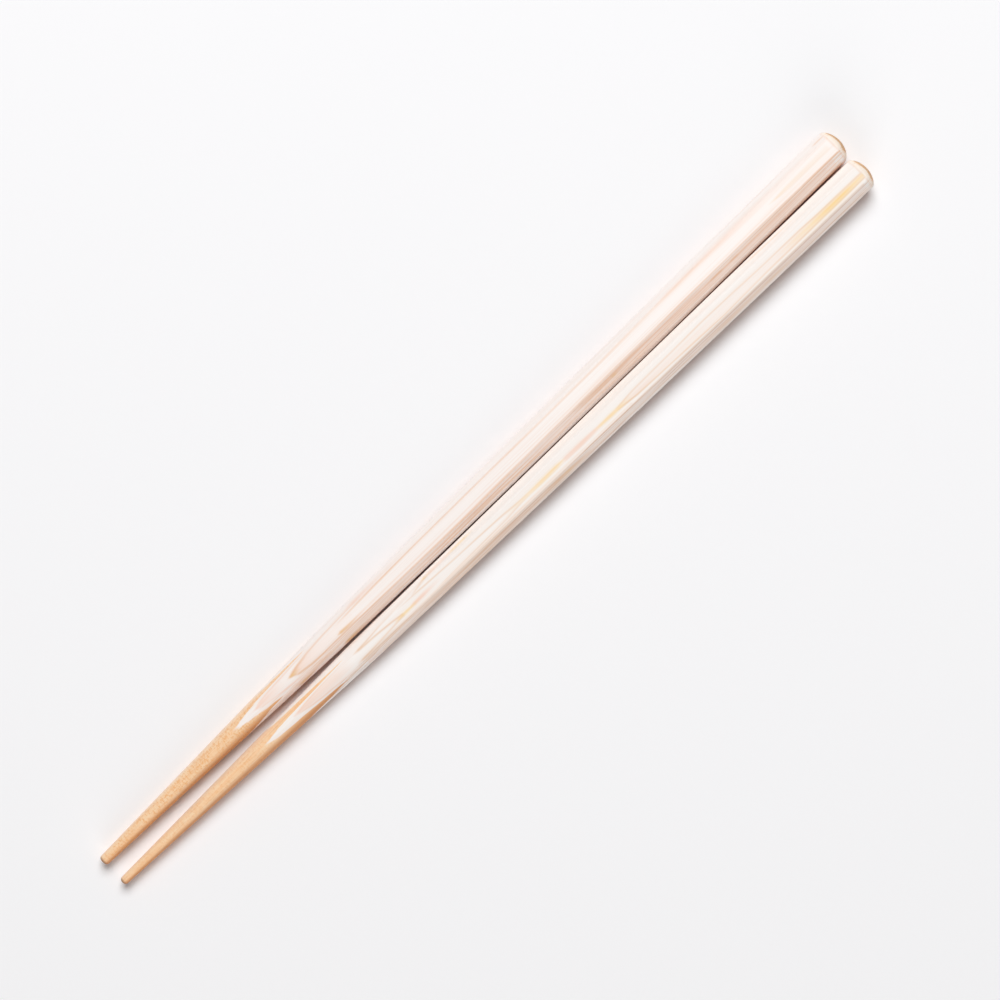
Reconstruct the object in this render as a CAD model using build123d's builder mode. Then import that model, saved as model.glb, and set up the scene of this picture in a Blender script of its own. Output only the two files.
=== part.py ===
from build123d import *
from math import cos, radians, sin, sqrt
import os

# A pair of wooden chopsticks lying side by side, with the tips towards -X and the butts towards +X.
# Each stick is one piece of wood. It is turned to a long taper with a round tip and a domed butt,
# and its body is then ground to eight flats, four broad and four narrow, which fade into the tip.
# Millimetres. The sticks rest on Z = 0, and the origin is under the middle of the pair.

stick_length = 230.0

# The turned blank: a slim body cone, and a butt that is domed and rounded over
butt_diameter = 8.88
body_taper = 0.0117  # diameter lost for each millimetre towards the tip
dome_radius = 6.0
butt_rounding = 2.5

# The tip: a steeper cone, which runs into the body along a long arc
tip_rounding = 0.8
blend_radius = 1300.0

# The tips were finished by hand, and the rear one is the stouter and the shorter
rear_tip_diameter = 2.42
rear_tip_length = 78.0
front_tip_diameter = 1.92
front_tip_length = 89.0

# The ground flats, measured across the butt
flat_count = 8
across_broad_flats = 7.97
across_narrow_flats = 8.47

# Degrees by which the other seven flats are turned against the one that each stick rests on
rear_turn = -3.5
front_turn = 3.5

# Distances between the two axes
tip_spacing = 6.3
butt_spacing = 8.7

# Values worked out from the sizes above
butt_radius = butt_diameter / 2
dome_depth = dome_radius - sqrt(dome_radius**2 - butt_radius**2)
butt_station = stick_length - dome_depth
splay = (butt_spacing - tip_spacing) / 2 / stick_length


def flat_lean(across):
    """How fast a flat nears the axis towards the tip. All flats keep their share of the taper."""
    return body_taper / 2 * across / butt_diameter


def stick_plane(side):
    """The upright plane through a stick's axis: x runs from the tip to the butt, and y up."""
    rise = flat_lean(across_broad_flats)
    run = Vector(1, side * splay, rise)
    tip_height = across_broad_flats / 2 - rise * butt_station
    tip_end = Vector(-stick_length / 2, side * tip_spacing / 2, tip_height)
    return Plane(tip_end, x_dir=run, z_dir=run.cross(Vector(0, 0, 1)))


def flat_plane(upright, angle, across):
    """The plane of a flat that lies at an angle about the axis, measured from straight up."""
    outward = upright.y_dir * cos(radians(angle)) + upright.z_dir * sin(radians(angle))
    middle = upright.origin + upright.x_dir * butt_station + outward * (across / 2)
    return Plane(middle, z_dir=outward - upright.x_dir * flat_lean(across))


sticks = [
    ("rear_chopstick", 1, rear_turn, rear_tip_diameter, rear_tip_length),
    ("front_chopstick", -1, front_turn, front_tip_diameter, front_tip_length),
]

os.makedirs("parts", exist_ok=True)

for name, side, turn, tip_diameter, tip_length in sticks:
    upright = stick_plane(side)
    tip_edge = (0, tip_diameter / 2)
    neck = (tip_length, butt_radius - body_taper / 2 * (butt_station - tip_length))
    butt_edge = (butt_station, butt_radius)

    with BuildPart() as chopstick:
        # Half the outline of the turned blank, from the axis at the tip to the axis at the butt
        with BuildSketch(upright) as blank_outline:
            with BuildLine():
                Polyline((stick_length, 0), (0, 0), tip_edge, neck, butt_edge)
                RadiusArc(butt_edge, (stick_length, 0), dome_radius)
            make_face()
            for corner, radius in (
                (tip_edge, tip_rounding),
                (neck, blend_radius),
                (butt_edge, butt_rounding),
            ):
                fillet(blank_outline.vertices().sort_by_distance(corner)[0], radius=radius)
        revolve(axis=Axis(upright.origin, upright.x_dir))

        # The resting flat lies on the table, and the others go round from it
        split(bisect_by=Plane.XY, keep=Keep.TOP)
        for step in range(1, flat_count):
            across = across_narrow_flats if step % 2 else across_broad_flats
            angle = 180 + turn + step * 360 / flat_count
            split(bisect_by=flat_plane(upright, angle, across), keep=Keep.BOTTOM)

    chopstick.part.label = name
    export_step(chopstick.part, f"parts/{name}.step")
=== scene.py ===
import math

import bpy
import numpy as np
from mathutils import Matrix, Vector


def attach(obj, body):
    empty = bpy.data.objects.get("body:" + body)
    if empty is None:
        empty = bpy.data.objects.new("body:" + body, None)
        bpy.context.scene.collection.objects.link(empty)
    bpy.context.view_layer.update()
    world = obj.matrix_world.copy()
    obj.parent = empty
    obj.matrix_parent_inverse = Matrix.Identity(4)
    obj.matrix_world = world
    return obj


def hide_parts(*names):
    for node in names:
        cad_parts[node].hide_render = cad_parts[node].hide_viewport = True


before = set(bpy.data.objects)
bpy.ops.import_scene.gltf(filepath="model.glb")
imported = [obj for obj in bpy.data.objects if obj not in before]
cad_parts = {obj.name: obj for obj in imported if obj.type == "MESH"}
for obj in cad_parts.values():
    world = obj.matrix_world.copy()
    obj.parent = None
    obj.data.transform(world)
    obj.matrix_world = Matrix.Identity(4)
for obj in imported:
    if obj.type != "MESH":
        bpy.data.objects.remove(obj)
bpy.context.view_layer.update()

# A pair of coated wooden chopsticks on a pale floor, seen from almost straight above.
# A station is a place along a stick, in millimetres from its tip. Angles go round its axis from
# straight up, positive towards the front.

MM = 0.001  # in Blender's own unit, the metre

# The sticks' form, as the solids have it
STICK_LENGTH = 230.0
BUTT_RADIUS = 4.44
BODY_TAPER = 0.00585  # radius lost for each millimetre towards the tip
DOME_RADIUS = 6.0
BUTT_ROUNDING = 2.5
TIP_ROUNDING = 0.8
BLEND_RADIUS = 1300.0
FLATS = 8
BROAD_APOTHEM = 3.985
NARROW_APOTHEM = 4.235
RESTING_FLAT = 180.0
TIP_SPACING = 6.3
BUTT_SPACING = 8.7
DOME_DEPTH = DOME_RADIUS - math.sqrt(DOME_RADIUS**2 - BUTT_RADIUS**2)
BUTT_STATION = STICK_LENGTH - DOME_DEPTH
FLAT_STEP = 360.0 / FLATS

# What the hand finishing adds: worn arrises, sharper for a larger number, and a belly in the
# upper flats, which fades out between these two angles
ARRIS_CRISPNESS = 110.0
BELLY_FADES = (110.0, 140.0)

# How far the upper flats were turned by hand along each stick: (station, degrees)
REAR_WANDER = [(60, -0.5), (78, -0.5), (93, 2.5), (110, 6), (122, 4), (134, 0.8), (158, -3),
               (198, -3.5), (214, -1), (228, 0.5)]
FRONT_WANDER = [(60, 0.5), (98, -0.5), (179, -0.8), (228, -0.5)]
WANDER_SMOOTHING = 33  # rings, an odd number

# Each stick: its side of the middle line, the turn of its upper flats in degrees, its tip and its
# belly. The flat beside the gap stands out by gap_rise, and by gap_belly more in its middle.
STICKS = {
    "rear_chopstick": {"side": 1, "turn": -3.5, "tip_radius": 1.21, "tip_length": 78.0,
                       "belly": 0.13, "gap_rise": 0.24, "gap_belly": 0.15,
                       "wander": REAR_WANDER},
    "front_chopstick": {"side": -1, "turn": 3.5, "tip_radius": 0.96, "tip_length": 89.0,
                        "belly": 0.13, "gap_rise": -0.07, "gap_belly": 0.0,
                        "wander": FRONT_WANDER},
}
GAP_FLATS = {1: 6, -1: 2}  # the flat beside the gap on each side, counted from the resting one

# Rings along one stick's mesh. Those of the butt lie on its last few millimetres.
TIP_RINGS = 8
BODY_RINGS = 380
BUTT_RINGS = 24
BUTT_REACH = 3.2

# Steps over each flat, which reach this many degrees to each side of its middle
BROAD_STEPS = 30
BROAD_REACH = 26.0
NARROW_STEPS = 18
NARROW_REACH = 19.0

# How far the bare wood reaches from the tip: (angle, station) round the upper half of a stick
REAR_WOOD_EDGE = [
    (-68, 49), (-54, 58), (-47, 64), (-43, 65.5), (-41, 58.5), (-37, 50), (-28, 46.5), (-18, 43),
    (-8, 41.2), (3, 43), (13, 45.5), (24, 49), (32, 52), (38, 54.5), (49, 50), (64, 46),
    (89, 41.5),
]

# Marks in the coats, each a run of (station, angle, half width in degrees, strength)
REAR_TAN = [
    [(58.5, -1, 5.1, 0.9), (59.5, -6, 6.4, 1), (61.5, -15, 6.1, 0.8), (65, -25, 5.4, 0.6),
     (70, -31, 4.6, 0.5), (77.5, -35, 4.9, 0.35), (82.5, -38, 5.4, 0)],
    [(58.5, -1, 5.1, 0.9), (59.5, 3, 6.4, 1), (60.5, 14, 5.6, 0.9), (64, 22, 4.7, 0.8),
     (67.5, 24, 4.3, 0.75), (78, 22, 3.5, 0.8), (93, 25, 3.5, 0.75), (110, 28, 3.7, 0.75),
     (133.5, 23, 3, 0.6), (158, 19, 2.7, 0.6), (198, 19, 2.6, 0.6), (227, 23, 2.8, 0.6)],
    [(72.5, -20, 3.1, 0), (77, -23, 3.7, 0.5), (85.5, -26, 3.8, 0.75), (93, -27, 3.8, 0.75),
     (100, -28, 4, 0.7), (118, -27, 3.7, 0.6), (138, -26, 3.4, 0.5), (155.5, -27, 3.4, 0.45),
     (169, -29, 4.1, 0.35), (187, -30, 4.2, 0.3), (200, -28, 3, 0)],
    [(73, 12, 3.8, 0.6), (73.5, 12, 5.7, 1), (77, 12, 4.1, 0.7), (81.5, 11, 3.3, 0.35),
     (100, 14, 2.7, 0.3), (118, 13, 2.7, 0.25), (155.5, 12, 2.6, 0.2), (200, 11, 2.5, 0.2),
     (222.5, 12, 2.4, 0)],
    [(73, 13, 3.8, 0.4), (74.5, 16, 4.5, 0.8), (78, 20, 3.7, 0.6), (84.5, 22, 2.9, 0)],
    [(58.5, 64, 8.5, 0.2), (59.5, 64, 10.5, 0.9), (62, 61, 9.3, 0.8), (64.5, 52, 6.3, 0.5),
     (73.5, 44, 4.5, 0.5), (89, 42, 3.8, 0.35), (115.5, 43, 3.6, 0.3), (142.5, 39, 3.4, 0.25)],
    [(72.5, 67, 11, 0.2), (73.5, 68, 11, 0.9), (78, 62, 11, 0.7), (89, 56, 4.5, 0.6),
     (133.5, 53, 3.8, 0.5), (178, 51, 3.6, 0.55), (225, 52, 3.4, 0.4)],
    [(142.5, 35, 3.4, 0), (148, 36, 5, 0.7), (153.5, 36, 5.8, 0.9), (158.5, 36, 4.9, 0.6),
     (164.5, 35, 3.3, 0.2)],
    [(155.5, 33, 2.4, 0.2), (187, 33, 2.4, 0.35), (222.5, 34, 2.7, 0.3)],
    [(186.5, 36, 2, 0.2), (187.5, 36, 2.8, 0.9), (190, 36, 2.8, 0.9), (191, 36, 2, 0.15),
     (192.5, 36, 2, 0.2), (193.5, 36, 2.8, 0.9), (195, 36, 2.8, 0.8), (196, 36, 2, 0)],
    [(155.5, 42, 2.5, 0.2), (191.5, 42, 2.8, 0.35), (222.5, 43, 2.7, 0.3)],
    # The next run is partly the coat's tan and partly a painted warm reflection on the side towards
    # the gap
    [(140, 70, 8, 0), (165, 69, 9, 0.3), (200, 68, 10, 0.6), (226, 67, 11, 0.8)],
    [(224, -48, 3.4, 0), (225, -48, 3.8, 0.6), (226.5, -48, 3.8, 0.7), (227.5, -47, 3.8, 0.5)],
]
REAR_HONEY = [
    [(156, 36, 2.5, 0), (156.5, 36, 4.5, 0.7), (157, 36, 4.5, 0.7), (158, 36, 2.5, 0)],
    [(207.5, -8, 1.6, 0), (210.5, -7, 3.6, 0.45), (213.5, -7, 7.1, 0.3), (226, -7, 11, 0.12)],
    [(58.3, -2, 3, 0.3), (59, -1, 5.5, 0.9), (60.2, -1, 7, 0.5), (61.5, 0, 8, 0)],
    [(58.8, 62, 6, 0), (59.5, 62, 9, 0.6), (61, 61, 8, 0.5), (63, 58, 5, 0)],
    [(72.3, 66, 8, 0), (73.3, 67, 11, 0.7), (75.5, 66, 10, 0.5), (79, 63, 6, 0)],
    [(72.8, 12, 2.6, 0.2), (73.5, 12, 5.2, 0.8), (75.5, 13, 4.2, 0.5), (78.5, 13, 3, 0)],
]
REAR_BLUSH = [
    [(47.5, -8, 2.4, 0.2), (48.5, -7, 7.7, 1), (50.5, -8, 17.3, 0.8), (53.5, -6, 24.5, 0.45),
     (57, -5, 26, 0)],
    [(48, -8, 3.9, 0.6), (49.5, -17, 5.5, 0.9), (52, -24, 5.1, 0.8), (55.5, -28, 5.1, 0.7),
     (59.5, -32, 5.1, 0.5), (64.5, -36, 5.2, 0.2), (69, -38, 4.1, 0)],
    [(48, -8, 3.9, 0.6), (49.5, 5, 5.2, 0.9), (52, 13, 4.7, 0.8), (55.5, 23, 4.7, 0.8),
     (58.5, 28, 4.7, 0.7), (62.5, 31, 4.7, 0.5), (69, 32, 4.5, 0.3)],
    [(59.5, -1, 8.5, 0), (60.5, -1, 12.7, 0.85), (63.5, -1, 19.1, 0.6), (67, -2, 21.9, 0.35),
     (72.5, -3, 21.9, 0.2), (78, -4, 19.2, 0.1)],
    [(77, -41, 8.2, 0), (80, -40, 10.8, 0.8), (84, -40, 10.8, 0.6), (89, -41, 10.9, 0.2),
     (95.5, -43, 11, 0.1)],
    [(173, -29, 7.2, 0), (178, -33, 10.4, 0.3), (189, -32, 12.4, 0.35), (200, -34, 13.5, 0.4),
     (211.5, -32, 11.4, 0.3), (222.5, -34, 10.2, 0.2), (227.5, -36, 9.9, 0.1)],
    [(50, 60, 12, 0.4), (60, 50, 16, 0.6), (73.5, 39, 20, 0.45), (93.5, 39, 17.9, 0.35),
     (133.5, 37, 16.4, 0.35), (178, 36, 15.4, 0.5), (225, 38, 15.1, 0.5)],
]

FRONT_WOOD_EDGE = [
    (-54, 48), (-45, 56), (-38, 64.5), (-34, 70), (-30, 65), (-26, 60), (-18, 50.5), (-9, 46.5),
    (1, 44), (9, 44.5), (17, 46), (26, 50.5), (30, 55.5), (37, 60), (44, 65), (49, 67), (58, 63.5),
    (76, 56),
]
FRONT_TAN = [
    [(72.5, -16, 4.3, 0.3), (73.5, -16, 5.5, 0.8), (76, -19, 4.6, 0.6), (80.5, -26, 3.8, 0.35),
     (87, -31, 4.1, 0.2), (91.5, -33, 3.8, 0)],
    [(72.5, -16, 4.3, 0.3), (73.5, -15, 5.5, 0.8), (75.5, -12, 4.5, 0.7), (78, -10, 3.9, 0.6),
     (83.5, -2, 3.9, 0.7), (86, 4, 4.3, 0.9)],
    [(72, 26, 4.5, 0.3), (73, 26, 5.8, 0.8), (75.5, 23, 4.7, 0.7), (78, 20, 4, 0.6),
     (83.5, 13, 3.8, 0.7), (86, 9, 4.3, 0.9)],
    [(72, 26, 4.5, 0.3), (73, 26, 5.8, 0.8), (77, 29, 4.4, 0.5), (84.5, 29, 3.7, 0.4),
     (98, 27, 3.1, 0.45), (120, 25, 2.9, 0.4), (155.5, 24, 2.4, 0.3)],
    [(89, -17, 3, 0), (91, -23, 4, 0.35), (93, -32, 5, 0.5), (95, -40, 6, 0.7),
     (96.5, -42, 6, 0.4), (99, -43, 5, 0)],
    [(86, -22, 2.8, 0.1), (91.5, -19, 3.2, 0.5), (95.5, -16, 3.1, 0.55), (102.5, -11, 3.2, 0.5),
     (110, -8, 3.2, 0.5), (117.5, -4, 3.6, 0.5), (121, 0, 4, 0.4), (124.5, 3, 4.4, 0.1)],
    [(95.5, 23, 2.4, 0.1), (98.5, 22, 2.7, 0.45), (117.5, 16, 3.3, 0.45), (121, 12, 3.8, 0.35),
     (124.5, 8, 4.2, 0.1)],
    [(152, 3, 2.7, 0.5), (155, -1, 3.4, 0.85), (157.5, -4, 3.4, 0.75), (170.5, -7, 2.9, 0.6),
     (179, -9, 2.8, 0.6), (189, -7, 2.9, 0.55), (197.5, -4, 2.9, 0.55), (209, -3, 3.2, 0.65),
     (214.5, 0, 3.2, 0.7), (222.5, 1, 3.2, 0.5), (227.5, 1, 3.2, 0.5)],
    [(152, 9, 2.7, 0.5), (155, 13, 3.3, 0.85), (157.5, 17, 3.2, 0.75), (170.5, 21, 2.8, 0.65),
     (184, 25, 2.6, 0.6), (197.5, 21, 2.7, 0.55), (214.5, 19, 3, 0.75), (227.5, 18, 3, 0.8)],
    [(87.5, 45, 5.3, 0), (91.5, 45, 6.4, 0.5), (104.5, 44, 7.2, 0.7), (118, 42, 6, 0.5),
     (128, 40, 5.8, 0.6), (131.5, 44, 7.3, 1), (136, 46, 6.8, 0.95), (139.5, 47, 5.3, 0.5),
     (143, 49, 4.3, 0)],
    [(118, 53, 4.5, 0.1), (124.5, 49, 5, 0.6), (131, 47, 6.5, 1), (138, 47, 6, 0.8),
     (142, 48, 5, 0)],
    [(173.5, 48, 4.6, 0), (182.5, 52, 6.9, 0.5), (198, 49, 6.8, 0.6), (208, 50, 5.4, 0)],
    [(192.5, -52, 3.3, 0), (198, -50, 3.7, 0.5), (204.5, -48, 3.7, 0.4), (211.5, -46, 3.3, 0)],
    [(67, 50, 5.2, 0.5), (73.5, 42, 4.2, 0.55), (80, 36, 3.7, 0.5), (93.5, 34, 3.6, 0.5),
     (124.5, 30, 2.9, 0.4), (160, 32, 3.1, 0.35), (196, 30, 2.7, 0.35), (226, 30, 2.5, 0.35)],
    [(78, 70, 9.6, 0.3), (115.5, 57, 3.5, 0.35), (155.5, 54, 3.3, 0.3), (196, 56, 3.1, 0.3),
     (225, 55, 3.1, 0.3)],
]
FRONT_HONEY = [
    [(83.5, 7, 2, 0.1), (85, 7, 5.1, 0.8), (87, 7, 6.6, 1), (88.5, 7, 5.4, 0.8), (91, 6, 3.9, 0)],
    [(101.5, -43, 2.9, 0), (104, -43, 5.3, 0.7), (107.5, -44, 5.3, 0.7), (110.5, -44, 2.9, 0)],
    [(117, 5, 4, 0), (121, 5, 6, 0.25), (125, 5, 7, 0.6), (128.5, 5, 7.8, 0.95), (133.5, 4, 7.4, 1),
     (135, 4, 5.6, 0.7), (136, 5, 4.2, 0)],
    [(144.5, 6, 2.1, 0), (147, 6, 5.2, 0.8), (150, 6, 6.5, 1), (153, 6, 6.1, 0.9),
     (155, 6, 6.8, 0.3), (157, 6, 6.8, 0)],
    [(201, 9, 4.8, 0), (207, 9, 8.4, 0.35), (212, 10, 9.4, 0.65), (217, 11, 9.4, 1),
     (221, 11, 9, 1), (224.5, 11, 8.4, 0.8), (227.5, 10, 7.6, 0.75)],
    [(94, -41, 3, 0), (95, -41, 5, 0.7), (96, -42, 4, 0)],
    [(133, 45, 3.9, 0), (135, 46, 4.9, 0.4), (136.5, 46, 3.9, 0)],
]
FRONT_BLUSH = [
    [(53, -1, 2.5, 0.2), (54.5, -1, 7.9, 1), (56.5, 0, 14.5, 0.8), (60, 2, 19.7, 0.65),
     (66, 4, 23.2, 0.5), (71, 5, 23.3, 0)],
    [(53.5, -1, 4, 0.6), (56, -8, 4.9, 0.9), (58.5, -13, 4.9, 0.8), (62.5, -18, 4.8, 0.6),
     (68, -21, 4.1, 0.3), (73.5, -24, 3.6, 0)],
    [(53.5, -1, 4, 0.6), (55.5, 9, 4.9, 0.9), (58, 19, 4.9, 0.9), (60.5, 25, 5, 0.8),
     (64.5, 30, 5, 0.7), (68, 36, 5.1, 0.5), (71, 40, 5.3, 0.2)],
    [(88, 7, 3.9, 0), (89.5, 6, 7.4, 0.95), (92.5, 5, 8.1, 0.8), (95, 4, 7.6, 0.3),
     (98, 3, 7.6, 0)],
    [(95.5, -42, 5, 0), (97, -42, 6.9, 0.7), (102, -43, 6.3, 0.6), (104.5, -43, 5.8, 0.1)],
    [(135, 5, 4.2, 0), (136, 5, 8.1, 0.9), (141, 6, 8.7, 0.95), (145, 6, 6.9, 0.8),
     (147.5, 6, 5.5, 0)],
    [(153.5, 7, 3.4, 0), (157, 7, 7.4, 0.45), (169, 8, 11.9, 0.25), (189, 9, 12.8, 0.2),
     (207, 10, 10.8, 0.3), (211.5, 9, 9.5, 0)],
    [(73.5, 57, 26, 0.4), (111, 48, 20.1, 0.35), (155.5, 47, 18.2, 0.25), (200, 48, 18.7, 0.35),
     (226, 47, 17.1, 0.3)],
]

WOOD_EDGES = {"rear_chopstick": REAR_WOOD_EDGE, "front_chopstick": FRONT_WOOD_EDGE}
MARKS = {
    "rear_chopstick": {"tan": REAR_TAN, "honey": REAR_HONEY, "blush": REAR_BLUSH},
    "front_chopstick": {"tan": FRONT_TAN, "honey": FRONT_HONEY, "blush": FRONT_BLUSH},
}

# How marks fade: across a run by this power of the distance, and at its ends after so many
# millimetres
EDGE_SHAPES = {"tan": 2.0, "honey": 2.2, "blush": 2.8}
RUN_OVERHANG = 0.3

# The unseen lower half of each stick carries the other stick's marks, turned over and moved along
OTHER_STICK = {"rear_chopstick": "front_chopstick", "front_chopstick": "rear_chopstick"}
MOVED_ALONG = 2.5

# The coats' edge: how far it waves to and fro, and a distance at which it no longer counts
EDGE_WAVE = 0.5
EDGE_FAR = 12

# The waves that make it up: their number, their lengths and how often they go round at most
WAVES = 12
WAVE_LENGTHS = (9, 42)
WAVE_TURNS = 5
WAVE_SEED = 11

# The square wood core inside the coats, seen at the domed butt
CORE_HALF_WIDTH = 3.2
CORE_CRISPNESS = 4

# Where parts of the finish set in or end, in millimetres from the end of the butt
CORE_SHOWS = (3.4, 2.2)
MARKS_END = (2.6, 1.6)
DOME_COAT_SHOWS = (2.5, 1.4)
END_GRAIN_SHOWS = (1.9, 0.7)
# Where the painted shade on the end of the tip sets in
TIP_END_SHADE_SHOWS = (0.9, 0.1)  # from the tip

# A worn crease where the body turns into the dome, also from the end of the butt
CREASE_PLACE = 2.3
CREASE_WIDTH = 0.22
CREASE_STRENGTH = 0.4

# Angles between which parts of the finish, and the painted shade, highlight and reflected light,
# set in and fade out again
FRONT_SHADE_STARTS = (16, 58)
REAR_HIGHLIGHT_STARTS = (-28, -75)
REAR_HIGHLIGHT_FADES = (-110, -140)
GAP_LIGHT_STARTS = (82, 91)
GAP_LIGHT_FADES = (120, 140)
SIDE_SHADE_STARTS = (84, 95)
LOWER_SHADE_STARTS = (104, 118)
NARROW_STARTS = (0, 20)
NARROW_FADES = (17, 21)  # from the middle of a narrow flat

# How strongly the coat is painted with warm reflected light in the gap, and with shade on the sides
# and on the lower flats
GAP_LIGHT_STRENGTH = 0.95
SIDE_SHADE_STRENGTH = 0.3
LOWER_SHADE_STRENGTH = 0.5

# The map for baking: margins along and round a row, and how far the ends' centres lie outside it
MARGIN_ALONG = 0.02
MARGIN_ROUND = 0.015
ROW_HEIGHT = 0.5
END_OUTSIDE = 0.01

# Colours of the coats, from the outermost to the marks where the grinding went through
REAR_COATS = {"white": (254, 245, 240), "fibre": (248, 229, 218), "narrow": (242, 204, 176),
              "blush": (250, 216, 198), "tan": (238, 190, 152), "honey": (238, 194, 132)}
FRONT_COATS = {"white": (253, 246, 241), "fibre": (249, 232, 221), "narrow": (230, 202, 184),
               "blush": (248, 212, 192), "tan": (236, 194, 156), "honey": (252, 217, 154)}

# Colours that both sticks share
# Painted shade on the coat of the sides and lower flats
SIDE_AND_LOWER_SHADE = (192, 134, 92)
# Painted warm reflected light on the coat in the gap
GAP_REFLECTED_LIGHT = (255, 176, 114)
DOME_COAT = (252, 230, 202)
WOOD_LIGHT = (254, 219, 180)
WOOD_DEEP = (254, 205, 157)
# Painted shade on the wood towards the front
WOOD_FRONT_SHADE = (206, 128, 68)
# A painted highlight on the wood along the rear side, which faces the light
WOOD_REAR_HIGHLIGHT = (255, 236, 218)
# Painted shade on the wood of the sides and lower flats
WOOD_LOWER_SHADE = (214, 146, 92)
WOOD_GRAIN = (222, 150, 92)
WOOD_FLECK = (242, 176, 112)
END_GRAIN = (216, 168, 118)
END_RINGS = (176, 126, 82)
END_PORES = (134, 90, 56)
# Painted shade on the end of the tip
TIP_END_SHADE = (150, 96, 60)
FLOOR_COLOUR = (251, 250, 251)
BACKDROP_COLOUR = (248, 247, 248)

# How strongly flecks show in each stick's wood
REAR_FLECKS = 0.75
FRONT_FLECKS = 0.35

# The room's even light
ROOM_TINT = (1.0, 0.95, 0.93, 1)
ROOM_STRENGTH = 0.155

# Camera, at the photograph's angle: lens and sensor in millimetres, the rest in metres
LENS = 120.0
SENSOR_WIDTH = 36.0
CAMERA_AZIMUTH = -44.14
CAMERA_ELEVATION = 87.5
CAMERA_DISTANCE = 0.743
AIM = (0.00435, -0.0006, 0.004)

# Half the width of the floor, in metres
FLOOR_HALF = 4.0

# Each soft lamp: azimuth, elevation, distance and width in metres, power and colour
LAMPS = {
    "north_softbox": (CAMERA_AZIMUTH + 180, 61.0, 1.8, 1.1, 29.3, (0.985, 1.005, 1.015)),
    "south_fill": (CAMERA_AZIMUTH, 20.0, 2.6, 1.7, 23.0, (1.0, 0.98, 0.96)),
}


def smooth_step(low, high, x):
    """From 0 at the low value to 1 at the high one, without corners."""
    u = np.clip((x - low) / (high - low), 0, 1)
    return u * u * (3 - 2 * u)


def wrapped(angle):
    """The same angle in radians, from minus half a turn to half a turn."""
    return (angle + math.pi) % (2 * math.pi) - math.pi


def near_butt(distances):
    """Distances from the end of the butt, as stations."""
    return [STICK_LENGTH - distance for distance in distances]


def tapered_radius(station):
    """Radius of the body's cone, carried on along the whole stick."""
    return BUTT_RADIUS - BODY_TAPER * (BUTT_STATION - station)


def turned_radius(station, tip_radius, tip_length):
    """Radius of the turned blank: rounded tip, tip cone, long blend, body cone and domed butt."""
    neck_radius = tapered_radius(tip_length)
    tip_slope = (neck_radius - tip_radius) / tip_length
    blend_half = BLEND_RADIUS * (tip_slope - BODY_TAPER) / 2
    from_neck = station - tip_length
    cone = neck_radius + tip_slope * from_neck
    body = tapered_radius(station)
    drop = (blend_half - from_neck) ** 2 / (2 * BLEND_RADIUS)
    blend = body - drop * (from_neck < blend_half)
    radius = np.where(from_neck < -blend_half, cone, blend)

    # The tip's corner is a quarter round
    corner = np.clip(TIP_ROUNDING - station, 0, TIP_ROUNDING)
    radius = radius - TIP_ROUNDING + np.sqrt(TIP_ROUNDING**2 - corner**2)

    # The butt's rounding is an arc that touches both the body and the dome
    arc_height = BUTT_RADIUS - BUTT_ROUNDING
    dome_centre = STICK_LENGTH - DOME_RADIUS
    arc_centre = dome_centre + math.sqrt((DOME_RADIUS - BUTT_ROUNDING) ** 2 - arc_height**2)
    touch = dome_centre + (arc_centre - dome_centre) * DOME_RADIUS / (DOME_RADIUS - BUTT_ROUNDING)
    past_arc = np.clip(station - arc_centre, 0, BUTT_ROUNDING)
    arc = arc_height + np.sqrt(BUTT_ROUNDING**2 - past_arc**2)
    dome = np.sqrt(np.clip(DOME_RADIUS**2 - (station - dome_centre) ** 2, 0, None))
    radius = np.where(station > arc_centre, np.minimum(radius, arc), radius)
    return np.where(station > touch, dome, radius)


def stick_stations():
    """Stations of the rings, closer together at the rounded tip and on the domed butt."""
    tip_turn = np.linspace(0, math.pi / 2, TIP_RINGS + 1)[:-1]
    tip = TIP_ROUNDING * (1 - np.cos(tip_turn))
    body = np.linspace(TIP_ROUNDING, STICK_LENGTH - BUTT_REACH, BODY_RINGS)
    butt_turn = np.linspace(0, math.pi / 2, BUTT_RINGS + 2)[1:-1]
    butt = STICK_LENGTH - BUTT_REACH * (1 - np.sin(butt_turn))
    return np.concatenate([tip, body, butt])


def ring_angles(turn):
    """Angles round the section in radians, closer together at the arrises."""
    angles = []
    for step in range(FLATS):
        steps, reach = (NARROW_STEPS, NARROW_REACH) if step % 2 else (BROAD_STEPS, BROAD_REACH)
        spread = -np.cos(np.pi * np.arange(steps) / steps)
        angles.extend(turn + FLAT_STEP * step + reach * spread)
    return np.radians(np.array(angles))


def flats_round(stick):
    """Each flat's angle in degrees, its apothem at the butt and its extra belly."""
    flats = [(RESTING_FLAT, BROAD_APOTHEM, 0.0)]
    for step in range(1, FLATS):
        apothem = NARROW_APOTHEM if step % 2 else BROAD_APOTHEM
        flats.append((RESTING_FLAT + stick["turn"] + FLAT_STEP * step, apothem, 0.0))
    beside_gap = GAP_FLATS[stick["side"]]
    angle, apothem, _ = flats[beside_gap]
    flats[beside_gap] = (angle, apothem + stick["gap_rise"], stick["gap_belly"])
    return flats


def wandering(station, stick):
    """Extra turn of the upper flats at each ring, in radians, without sudden changes."""
    places, turns = zip(*stick["wander"])
    kernel = np.hanning(WANDER_SMOOTHING)
    padded = np.pad(np.interp(station, places, turns), WANDER_SMOOTHING // 2, mode="edge")
    return np.radians(np.convolve(padded, kernel / kernel.sum(), "valid"))


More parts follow.
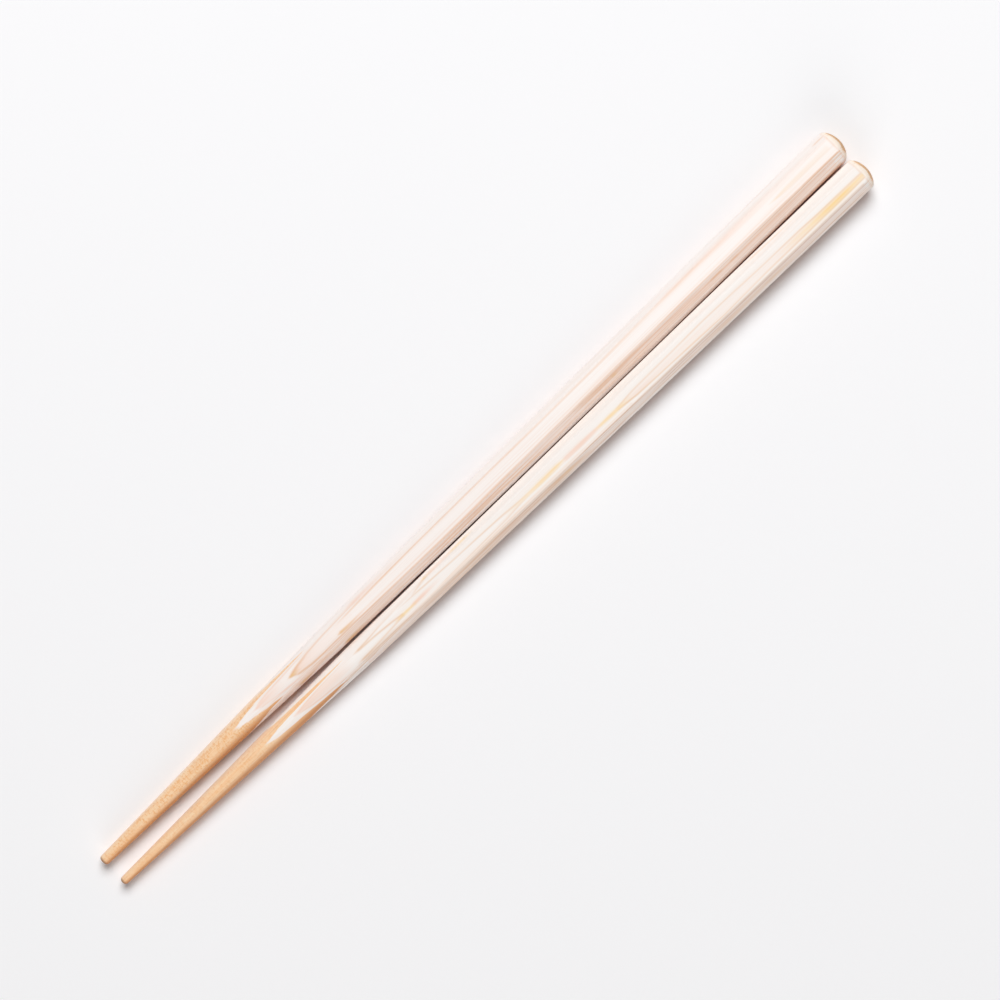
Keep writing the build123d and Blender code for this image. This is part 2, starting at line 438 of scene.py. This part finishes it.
def section_radius(station, angle, stick):
    """Radius at a station and an angle: the turned blank cut by the flats, with worn arrises."""
    turned = turned_radius(station, stick["tip_radius"], stick["tip_length"])
    taper = tapered_radius(station) / BUTT_RADIUS
    along = np.clip((station - stick["tip_length"]) / (BUTT_STATION - stick["tip_length"]), 0, 1)
    middle = 4 * along * (1 - along)
    upper = 1 - smooth_step(*np.radians(BELLY_FADES), np.abs(wrapped(angle)))
    belly = stick["belly"] * middle * upper
    wander = wandering(station[:, 0], stick)[:, None]
    inverse = (1 / (turned + belly)) ** ARRIS_CRISPNESS
    for flat, apothem, extra in flats_round(stick):
        # The resting flat doesn't wander, and a flat that faces away has no say
        moved = 0 if flat == RESTING_FLAT else wander
        facing = np.clip(np.cos(angle - math.radians(flat) - moved), 1e-3, 1)
        reach = apothem * taper + belly + extra * middle
        inverse = inverse + (facing / reach) ** ARRIS_CRISPNESS
    return inverse ** (-1 / ARRIS_CRISPNESS)


def waviness(station, angle):
    """A slow irregular wave over the surface, about from -1 to 1, the same on every run."""
    draw = np.random.default_rng(WAVE_SEED)
    total = np.zeros(np.broadcast(station, angle).shape)
    for _ in range(WAVES):
        length = draw.uniform(*WAVE_LENGTHS)
        turns = draw.integers(-WAVE_TURNS, WAVE_TURNS + 1)
        phase = draw.uniform(0, 2 * math.pi)
        total = total + np.sin(2 * math.pi * station / length + turns * angle + phase)
    return total * 2 / WAVES


def beyond_wood(name, station, angle):
    """Millimetres from the edge of the bare wood, positive where the coats cover it."""
    upper = WOOD_EDGES[name]
    lower = [(turn + 180, reach + MOVED_ALONG) for turn, reach in WOOD_EDGES[OTHER_STICK[name]]]
    turns, reaches = zip(*sorted(upper + lower))
    beyond = station[:, None] - np.interp(np.degrees(angle), turns, reaches, period=360)
    wave = EDGE_WAVE * waviness(station[:, None], angle)
    return np.clip(beyond + wave, -EDGE_FAR, EDGE_FAR)


def outside_core(radius, angle, station):
    """Distance from the edge of the wood core on the domed butt, and a large value elsewhere."""
    across = radius * np.abs(np.sin(angle))
    upward = radius * np.abs(np.cos(angle))
    squareness = (across**4 + upward**4) ** 0.25
    on_butt = smooth_step(*near_butt(CORE_SHOWS), station)[:, None]
    return (squareness - CORE_HALF_WIDTH) * CORE_CRISPNESS * on_butt + EDGE_FAR * (1 - on_butt)


def mark_strength(name, kind, station, angle):
    """How strong one kind of mark is at each point, from 0 to 1."""
    runs = list(MARKS[name][kind])
    for run in MARKS[OTHER_STICK[name]][kind]:
        runs.append([(place + MOVED_ALONG, turn + 180, width, strength)
                     for place, turn, width, strength in run])
    total = np.zeros(angle.shape)
    for run in runs:
        places, *columns = zip(*run)
        middle, width, strength = (np.interp(station, places, values) for values in columns)
        inside = (station >= places[0] - RUN_OVERHANG) & (station <= places[-1] + RUN_OVERHANG)
        away = wrapped(angle - np.radians(middle)[:, None])
        away = np.abs(np.degrees(away)) / width[:, None]
        peak = (strength * inside)[:, None]
        total = np.maximum(total, peak * np.exp(-(away ** EDGE_SHAPES[kind])))
    return total


def surface_fields(name, station, angle, radius):
    """What the finish goes by at each point: covered in millimetres, the others from 0 to 1."""
    stick = STICKS[name]
    from_turn = angle - math.radians(stick["turn"])
    degrees = np.degrees(wrapped(angle))
    before_dome = 1 - smooth_step(*near_butt(MARKS_END), station)[:, None]

    covered = np.minimum(beyond_wood(name, station, angle),
                         outside_core(radius, from_turn, station))
    fields = {"covered": covered}
    for kind in EDGE_SHAPES:
        fields[kind] = mark_strength(name, kind, station, angle) * before_dome
    from_crease = (station - STICK_LENGTH + CREASE_PLACE) / CREASE_WIDTH
    crease = CREASE_STRENGTH * np.exp(-(from_crease**2))[:, None]
    fields["tan"] = np.maximum(fields["tan"], crease)

    # The narrow flats towards the front, where the coat shows more of the fibres
    half = FLAT_STEP / 2
    from_narrow = np.abs((np.degrees(angle) - stick["turn"] + half) % (4 * half) - 3 * half)
    narrow = 1 - smooth_step(*NARROW_FADES, from_narrow)
    fields["narrow"] = narrow * smooth_step(*NARROW_STARTS, degrees)

    # Painted shade on the wood towards the front, and a painted highlight on it along the rear
    # side, which faces the light
    fields["front"] = smooth_step(*FRONT_SHADE_STARTS, degrees)
    fields["rear"] = smooth_step(*REAR_HIGHLIGHT_STARTS, degrees) * (1 - smooth_step(*REAR_HIGHLIGHT_FADES, degrees))

    # Painted warm reflected light on the coats in the gap, and painted shade on the sides and,
    # stronger, on the lower flats
    towards_gap = degrees * stick["side"]
    painted_gap_light = smooth_step(*GAP_LIGHT_STARTS, towards_gap) * (1 - smooth_step(*GAP_LIGHT_FADES, towards_gap))
    fields["painted_gap_light"] = GAP_LIGHT_STRENGTH * painted_gap_light * before_dome
    from_top = np.abs(degrees)
    sides = SIDE_SHADE_STRENGTH * smooth_step(*SIDE_SHADE_STARTS, from_top)
    lower = LOWER_SHADE_STRENGTH * smooth_step(*LOWER_SHADE_STARTS, from_top)
    fields["painted_side_and_lower_shade"] = (sides + lower) * before_dome
    return fields


def stick_directions(stick):
    """The end of a stick's tip, and the directions along it, up and towards the front."""
    rise = BODY_TAPER * BROAD_APOTHEM / BUTT_RADIUS
    splay = stick["side"] * (BUTT_SPACING - TIP_SPACING) / 2 / STICK_LENGTH
    run = Vector((1, splay, rise)).normalized()
    front = run.cross(Vector((0, 0, 1))).normalized()
    tip_height = BROAD_APOTHEM - rise * BUTT_STATION
    tip_end = Vector((-STICK_LENGTH / 2, stick["side"] * TIP_SPACING / 2, tip_height))
    return tip_end, run, front.cross(run), front


def stick_faces(rings, sides):
    """Quads between the rings, and then a fan at each end round that end's centre."""
    corners = np.arange(rings * sides).reshape(rings, sides)
    here, following = corners[:-1], corners[1:]
    quads = np.stack([here, np.roll(here, -1, 1), np.roll(following, -1, 1), following], axis=2)
    faces = quads.reshape(-1, 4).tolist()
    tip_centre, butt_centre = rings * sides, rings * sides + 1
    for side in range(sides):
        after = (side + 1) % sides
        faces.append((tip_centre, int(corners[0, after]), int(corners[0, side])))
        faces.append((butt_centre, int(corners[-1, side]), int(corners[-1, after])))
    return faces


def spread_over_map(mesh, station, sides):
    """A map for baking: the unrolled stick in two rows, its tip half above its butt half."""
    middle = int(np.searchsorted(station, STICK_LENGTH / 2))
    ring = np.arange(len(station) - 1)
    row = (ring >= middle).astype(float)
    start = np.where(row == 0, station[0], station[middle])
    length = np.where(row == 0, station[middle] - station[0], station[-1] - station[middle])
    near, far = ((station[ring + i] - start) / length for i in (0, 1))
    side = np.arange(sides)

    def placed(along, around, in_row):
        u = MARGIN_ALONG + (1 - 2 * MARGIN_ALONG) * along
        v = MARGIN_ROUND + (ROW_HEIGHT - 2 * MARGIN_ROUND) * around / sides
        return np.stack(np.broadcast_arrays(u, v + ROW_HEIGHT * (1 - in_row)), axis=-1)

    corners = [
        placed(along[:, None], around[None, :], row[:, None])
        for along, around in ((near, side), (near, side + 1), (far, side + 1), (far, side))
    ]
    quads = np.stack(corners, axis=2).reshape(-1, 2)
    tip = [placed(-END_OUTSIDE, side + 0.5, 0), placed(0, side + 1, 0), placed(0, side, 0)]
    butt = [placed(1 + END_OUTSIDE, side + 0.5, 1), placed(1, side, 1), placed(1, side + 1, 1)]
    ends = np.stack(tip + butt, axis=1).reshape(-1, 2)
    layer = mesh.uv_layers.new(name="OFBake")
    layer.data.foreach_set("uv", np.concatenate([quads, ends]).astype(np.float32).ravel())


def stick_mesh(name):
    """A closed mesh of one stick, with its finish and its wood's own coordinates."""
    stick = STICKS[name]
    station = stick_stations()
    angle = ring_angles(stick["turn"])[None, :] + wandering(station, stick)[:, None]
    radius = section_radius(station[:, None], angle, stick)

    # In the wood's own coordinates the stick runs along X, with Y up and Z towards the front
    along = np.broadcast_to(station[:, None], radius.shape)
    wood = np.stack([along, radius * np.cos(angle), radius * np.sin(angle)], axis=2)
    wood = np.concatenate([wood.reshape(-1, 3), [[0, 0, 0], [STICK_LENGTH, 0, 0]]])
    tip_end, run, up, front = (np.array(vector) for vector in stick_directions(stick))
    vertices = (tip_end + wood[:, :1] * run + wood[:, 1:2] * up + wood[:, 2:] * front) * MM
    mesh = bpy.data.meshes.new(name + "_finished")
    mesh.from_pydata(vertices.tolist(), [], stick_faces(*radius.shape))
    mesh.shade_smooth()

    for key, values in surface_fields(name, station, angle, radius).items():
        layer = mesh.attributes.new(key, "FLOAT", "POINT")
        with_ends = np.concatenate([values.ravel(), values[0, :1], values[-1, :1]])
        layer.data.foreach_set("value", with_ends.astype(np.float32))
    spread_over_map(mesh, station, radius.shape[1])
    layer = mesh.attributes.new("wood_place", "FLOAT_VECTOR", "POINT")
    layer.data.foreach_set("vector", wood.astype(np.float32).ravel())
    mesh.update()
    return mesh


def linear(red, green, blue):
    """A colour from its usual 0 to 255 values, as the shader wants it."""
    values = []
    for value in (red, green, blue):
        share = value / 255
        values.append(share / 12.92 if share <= 0.04045 else ((share + 0.055) / 1.055) ** 2.4)
    return (*values, 1.0)


class Nodes:
    """Short ways to add and join the nodes of one material or world."""

    def __init__(self, owner):
        owner.use_nodes = True
        self.tree = owner.node_tree
        self.tree.nodes.clear()

    def add(self, kind, inputs=None, **settings):
        """A node. Each input is either a value or the socket that it is joined to."""
        node = self.tree.nodes.new(kind)
        for key, value in settings.items():
            setattr(node, key, value)
        for key, value in (inputs or {}).items():
            if isinstance(value, bpy.types.NodeSocket):
                self.tree.links.new(value, node.inputs[key])
            else:
                node.inputs[key].default_value = value
        return node

    def maths(self, operation, first, second, clamp=False):
        inputs = {0: first, 1: second}
        return self.add("ShaderNodeMath", inputs, operation=operation, use_clamp=clamp).outputs[0]

    def times(self, first, second, clamp=False):
        return self.maths("MULTIPLY", first, second, clamp)

    def noise(self, place, stretch, detail=3.0, roughness=0.5):
        """Noise that is finer along each axis where its stretch is larger."""
        stretched = self.add("ShaderNodeVectorMath", {0: place, 1: stretch}, operation="MULTIPLY")
        inputs = {
            "Vector": stretched.outputs[0],
            "Scale": 1.0,
            "Detail": detail,
            "Roughness": roughness,
        }
        return self.add("ShaderNodeTexNoise", inputs).outputs[0]

    def between(self, value, low, high):
        """A smooth step from 0 at the low value to 1 at the high one."""
        inputs = {"Value": value, "From Min": low, "From Max": high}
        node = self.add("ShaderNodeMapRange", inputs, interpolation_type="SMOOTHSTEP")
        return node.outputs[0]

    def mix(self, share, first, second):
        """Two colours mixed. They are inputs 6 and 7 of their node, and output 2."""
        inputs = {0: share, 6: first, 7: second}
        return self.add("ShaderNodeMix", inputs, data_type="RGBA").outputs[2]

    def tint(self, base, where, strength, colour):
        """The base with a colour laid over it, at the given strength where the mask is 1."""
        return self.mix(self.times(where, strength), base, linear(*colour))

    def surface(self, inputs):
        shader = self.add("ShaderNodeBsdfPrincipled", inputs)
        self.add("ShaderNodeOutputMaterial", {"Surface": shader.outputs[0]})


def coated_wood(name, colours, fleck_strength):
    """Light hardwood under coats that were ground back in places, all under a satin varnish."""
    material = bpy.data.materials.new(name)
    n = Nodes(material)
    place = n.add("ShaderNodeAttribute", attribute_name="wood_place").outputs["Vector"]
    station = n.add("ShaderNodeSeparateXYZ", {0: place}).outputs[0]
    covered, tan, honey, blush, narrow, front, rear, painted_gap_light, painted_side_and_lower_shade = (
        n.add("ShaderNodeAttribute", attribute_name=key).outputs["Fac"]
        for key in ("covered", "tan", "honey", "blush", "narrow", "front", "rear", "painted_gap_light",
                    "painted_side_and_lower_shade")
    )

    # The white coat, with fibres that show through it, most of all on the narrow flats
    fine = n.noise(place, (0.03, 3.0, 3.0), roughness=0.6)
    fibres = n.times(n.between(fine, 0.42, 0.7), 0.5)
    coats = n.mix(fibres, linear(*colours["white"]), linear(*colours["fibre"]))
    lines = n.between(n.noise(place, (0.014, 3.0, 3.0), roughness=0.7), 0.5, 0.62)
    coats = n.tint(coats, lines, narrow, colours["narrow"])

    # Blush, tan and honey where the grinding went through, unevenly along the stick
    tone = n.noise(place, (0.06, 0.7, 0.7), 2.0)
    uneven = n.add("ShaderNodeMapRange", {"Value": tone, "From Min": 0.3, "From Max": 0.7,
                                          "To Min": 0.65, "To Max": 1.1}).outputs[0]
    for kind, mark in (("blush", blush), ("tan", tan), ("honey", honey)):
        coats = n.mix(n.times(mark, uneven, clamp=True), coats, linear(*colours[kind]))

    # Painted shade on the sides and lower flats, painted warm reflected light in the gap, and the
    # cream ring of coat on the dome
    coats = n.mix(painted_side_and_lower_shade, coats, linear(*SIDE_AND_LOWER_SHADE))
    coats = n.mix(painted_gap_light, coats, linear(*GAP_REFLECTED_LIGHT))
    coats = n.tint(coats, n.between(station, *near_butt(DOME_COAT_SHOWS)), 0.5, DOME_COAT)

    # Wood: slow changes of tone, fine lengthwise grain and short flecks across it
    tone = n.noise(place, (0.06, 0.9, 0.9))
    wood = n.mix(n.between(tone, 0.3, 0.7), linear(*WOOD_LIGHT), linear(*WOOD_DEEP))
    # Painted shade on the wood towards the front
    wood = n.tint(wood, front, 0.8, WOOD_FRONT_SHADE)
    # Painted shade on the wood of the sides and lower flats
    wood = n.tint(wood, painted_side_and_lower_shade, 0.6, WOOD_LOWER_SHADE)
    grain = n.noise(place, (0.12, 3.6, 3.6), roughness=0.6)
    wood = n.tint(wood, n.between(grain, 0.46, 0.72), 0.3, WOOD_GRAIN)
    flecks = n.between(n.noise(place, (2.2, 1.5, 1.5), 2.0, 0.7), 0.42, 0.66)
    patches = n.between(n.noise(place, (0.22, 0.4, 0.4), 1.0), 0.2, 0.55)
    wood = n.tint(wood, n.times(flecks, patches), fleck_strength, WOOD_FLECK)
    # A painted highlight along the rear side, which faces the light
    wood = n.tint(wood, rear, 0.6, WOOD_REAR_HIGHLIGHT)

    # The end grain on the domed butt is browner, with growth rings and pores
    on_butt = n.between(station, *near_butt(END_GRAIN_SHOWS))
    wood = n.tint(wood, on_butt, 0.85, END_GRAIN)
    rings = n.between(n.noise(place, (0.3, 0.6, 3.2), roughness=0.6), 0.42, 0.62)
    wood = n.tint(wood, n.times(rings, on_butt), 0.45, END_RINGS)
    pores = n.between(n.noise(place, (0.3, 11.0, 11.0), 2.0), 0.56, 0.68)
    wood = n.tint(wood, n.times(pores, on_butt), 0.5, END_PORES)

    # The end of the tip is darker too: painted shade where it faces away from the light
    wood = n.tint(wood, n.between(station, *TIP_END_SHADE_SHOWS), 0.8, TIP_END_SHADE)

    # The coats' edge follows the fibres
    fibre = n.maths("SUBTRACT", n.noise(place, (0.3, 4.0, 4.0)), 0.5)
    cover = n.between(n.maths("ADD", covered, n.times(fibre, 4.0)), -0.9, 1.1)

    # The varnish, with the grain under it as a very low relief
    gloss = n.noise(place, (0.08, 2.5, 2.5), 2.0)
    roughness = n.add("ShaderNodeMapRange", {"Value": gloss, "To Min": 0.5, "To Max": 0.62})
    height = n.maths("ADD", n.times(grain, 0.6), n.times(fine, 0.4))
    bump = n.add("ShaderNodeBump", {"Height": height, "Strength": 0.06, "Distance": 0.0002})
    n.surface({
        "Base Color": n.mix(cover, wood, coats),
        "Roughness": roughness.outputs[0],
        "Normal": bump.outputs[0],
        "Specular IOR Level": 0.3,
        "Coat Weight": 0.08,
        "Coat Roughness": 0.3,
    })
    return material


def add_object(name, data):
    thing = bpy.data.objects.new(name, data)
    bpy.context.scene.collection.objects.link(thing)
    return thing


def build_stick(name, material):
    piece = add_object(name + "_finished", stick_mesh(name))
    piece.data.materials.append(material)
    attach(piece, "root")
    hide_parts(name)


def build_floor():
    """A plain pale floor, wide enough for every view."""
    corners = [(-1, -1), (1, -1), (1, 1), (-1, 1)]
    mesh = bpy.data.meshes.new("floor")
    mesh.from_pydata([(x * FLOOR_HALF, y * FLOOR_HALF, 0) for x, y in corners], [],
                     [(0, 1, 2, 3)])
    material = bpy.data.materials.new("floor_paper")
    Nodes(material).surface({"Base Color": linear(*FLOOR_COLOUR), "Roughness": 0.9,
                             "Specular IOR Level": 0.1})
    mesh.materials.append(material)
    floor = add_object("floor", mesh)


def build_world():
    """An even light over the object, and a pale backdrop that only the camera sees."""
    world = bpy.data.worlds.new("pale_room")
    bpy.context.scene.world = world
    n = Nodes(world)
    room = n.add("ShaderNodeBackground", {"Color": ROOM_TINT, "Strength": ROOM_STRENGTH})
    backdrop = n.add("ShaderNodeBackground", {"Color": linear(*BACKDROP_COLOUR)})
    seen = n.add("ShaderNodeLightPath").outputs["Is Camera Ray"]
    mix = n.add("ShaderNodeMixShader", {0: seen, 1: room.outputs[0], 2: backdrop.outputs[0]})
    n.add("ShaderNodeOutputWorld", {0: mix.outputs[0]})


def set_round_object(thing, azimuth, elevation, distance):
    """Place a camera or lamp so that it looks at the object. Azimuth 0 is the front."""
    a, e = math.radians(azimuth), math.radians(elevation)
    away = Vector((math.sin(a) * math.cos(e), -math.cos(a) * math.cos(e), math.sin(e)))
    thing.location = Vector(AIM) + away * distance
    thing.rotation_mode = "QUATERNION"
    thing.rotation_quaternion = away.to_track_quat("Z", "Y")


def build_camera():
    data = bpy.data.cameras.new("camera")
    data.lens = LENS
    data.sensor_width = SENSOR_WIDTH
    camera = add_object("camera", data)
    set_round_object(camera, CAMERA_AZIMUTH, CAMERA_ELEVATION, CAMERA_DISTANCE)
    bpy.context.scene.camera = camera


def add_soft_lamp(name, azimuth, elevation, distance, size, power, colour):
    data = bpy.data.lights.new(name, "AREA")
    data.shape = "SQUARE"
    data.size = size
    data.energy = power
    data.color = colour
    set_round_object(add_object(name, data), azimuth, elevation, distance)


build_stick("rear_chopstick", coated_wood("rear_finish", REAR_COATS, REAR_FLECKS))
build_stick("front_chopstick", coated_wood("front_finish", FRONT_COATS, FRONT_FLECKS))
build_floor()
build_world()
build_camera()
for name, placing in LAMPS.items():
    add_soft_lamp(name, *placing)
bpy.context.scene.view_settings.view_transform = "Standard"
